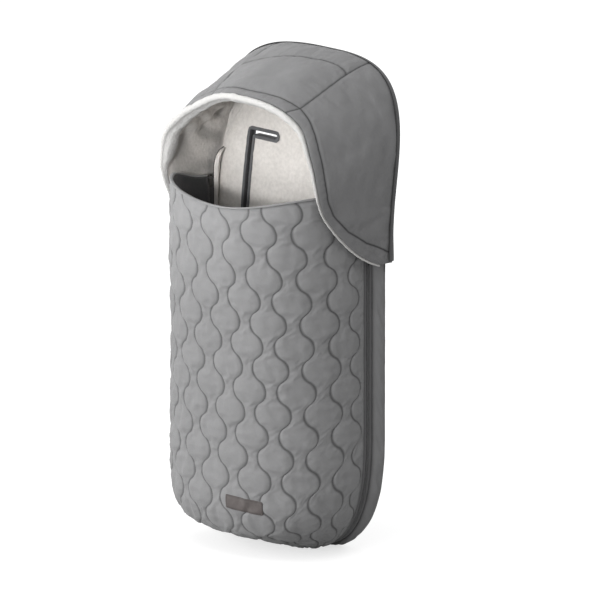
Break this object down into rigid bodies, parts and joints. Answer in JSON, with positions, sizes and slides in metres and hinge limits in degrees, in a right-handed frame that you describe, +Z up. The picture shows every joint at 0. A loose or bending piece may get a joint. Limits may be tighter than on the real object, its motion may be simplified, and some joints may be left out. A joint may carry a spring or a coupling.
{
  "type": "car seat footmuff",
  "caption": "Quilted footmuff for an infant car seat, pram or pushchair, with a zip-off cover, a fleece lined hood and bound harness slots.",
  "frame": {"origin": "middle of the part's box, on the floor that the foot stands on", "axes": "+Z up along the muff, +Y towards its back, +X to the viewer's right when facing the cover"},
  "size_m": [0.408, 0.2634, 0.806],
  "materials": {
    "grey_fabric": "matt woven shell fabric, quilted on the cover",
    "dark_fabric": "dark lining fabric and bound edges",
    "cream_fleece": "soft warm cream pile",
    "white_wadding": "white wadding between the layers",
    "zip_grey": "zip coils and woven tapes",
    "zip_metal": "dark coated metal of sliders, pulls, stops and snaps",
    "label_brown": "plain brown sewn patch"
  },
  "bodies": {
    "tub": {"back_lining": "cream_fleece", "back_padding": "white_wadding", "back_shell": "grey_fabric", "crotch_slot_binding": "dark_fabric", "gusset_lining": "cream_fleece", "gusset_shell": "grey_fabric", "hood_snap_stud_left": "zip_metal", "hood_snap_stud_right": "zip_metal", "slot_binding_left": "dark_fabric", "slot_binding_right": "dark_fabric", "zip_coil_body": "zip_grey", "zip_stop_body_left": "zip_metal", "zip_stop_body_right": "zip_metal", "zip_tape_body": "zip_grey"},
    "cover": {"cover_lining": "dark_fabric", "cover_neck_hem": "grey_fabric", "cover_padding": "white_wadding", "cover_shell": "grey_fabric", "label_patch": "label_brown", "zip_coil_cover": "zip_grey", "zip_stop_cover_left": "zip_metal", "zip_stop_cover_right": "zip_metal", "zip_tape_cover": "zip_grey"},
    "hood": {"hood_band_left": "grey_fabric", "hood_band_right": "grey_fabric", "hood_band_top": "grey_fabric", "hood_cap_band": "dark_fabric", "hood_cap_elastic": "dark_fabric", "hood_crown_panel": "grey_fabric", "hood_fleece_rim": "cream_fleece", "hood_front_panel": "grey_fabric", "hood_lining": "cream_fleece", "hood_padding": "white_wadding", "hood_side_left": "grey_fabric", "hood_side_right": "grey_fabric", "hood_snap_socket_left": "zip_metal", "hood_snap_socket_right": "zip_metal"},
    "slider_left": {"zip_slider_left": "zip_metal"},
    "slider_right": {"zip_slider_right": "zip_metal"},
    "pull_left": {"zip_pull_left": "zip_metal"},
    "pull_right": {"zip_pull_right": "zip_metal"}
  },
  "joints": [
    {"name": "cover_fold", "type": "hinge", "parent": "tub", "child": "cover", "pos_m": [0, 0.03901, 0], "axis": [1, 0, 0], "range_deg": [0, 90]},
    {"name": "hood_fold", "type": "hinge", "parent": "tub", "child": "hood", "pos_m": [0, 0.05901, 0.5], "axis": [-1, 0, 0], "range_deg": [0, 30]},
    {"name": "slider_left_slide", "type": "slide", "parent": "tub", "child": "slider_left", "axis": [0, 0, -1], "range_m": [0, 0.345]},
    {"name": "slider_right_slide", "type": "slide", "parent": "tub", "child": "slider_right", "axis": [0, 0, -1], "range_m": [0, 0.345]},
    {"name": "pull_left_swing", "type": "hinge", "parent": "slider_left", "child": "pull_left", "pos_m": [-0.1875, 0.03901, 0.564], "axis": [0, 1, 0], "range_deg": [-10, 15]},
    {"name": "pull_right_swing", "type": "hinge", "parent": "slider_right", "child": "pull_right", "pos_m": [0.1875, 0.03901, 0.564], "axis": [0, -1, 0], "range_deg": [-10, 15]}
  ]
}
